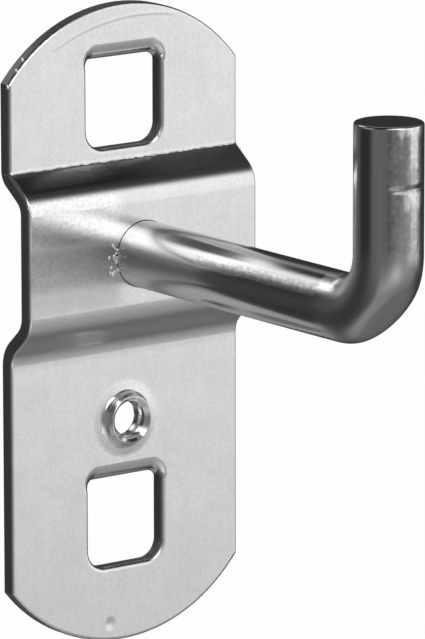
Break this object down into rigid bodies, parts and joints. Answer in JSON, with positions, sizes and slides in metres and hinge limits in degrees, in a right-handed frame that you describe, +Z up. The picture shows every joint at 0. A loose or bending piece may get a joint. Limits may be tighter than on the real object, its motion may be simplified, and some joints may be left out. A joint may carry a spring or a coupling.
{
  "type": "tool hook",
  "caption": "Steel hook for a perforated tool panel: a joggled back plate with rear tabs and a screw collar carries a round bar that stands straight out and turns up at its end.",
  "frame": {"origin": "on the axis of the locking screw, in the plane where the flanges of the back plate meet the panel", "axes": "+Y towards the panel, -Y along the arm away from it, +Z up, +X across the plate to the right as seen from the front"},
  "size_m": [0.025, 0.0498, 0.0577],
  "materials": {
    "plate_zinc": "bright zinc plating on rolled sheet, satin with fine mottling",
    "bar_zinc": "bright zinc plating on drawn bar, semi-gloss",
    "weld_zinc": "zinc plating over a weld, satin"
  },
  "bodies": {
    "root": {"back_plate": "plate_zinc", "hook_rod": "bar_zinc", "weld_bead": "weld_zinc"}
  },
  "joints": []
}
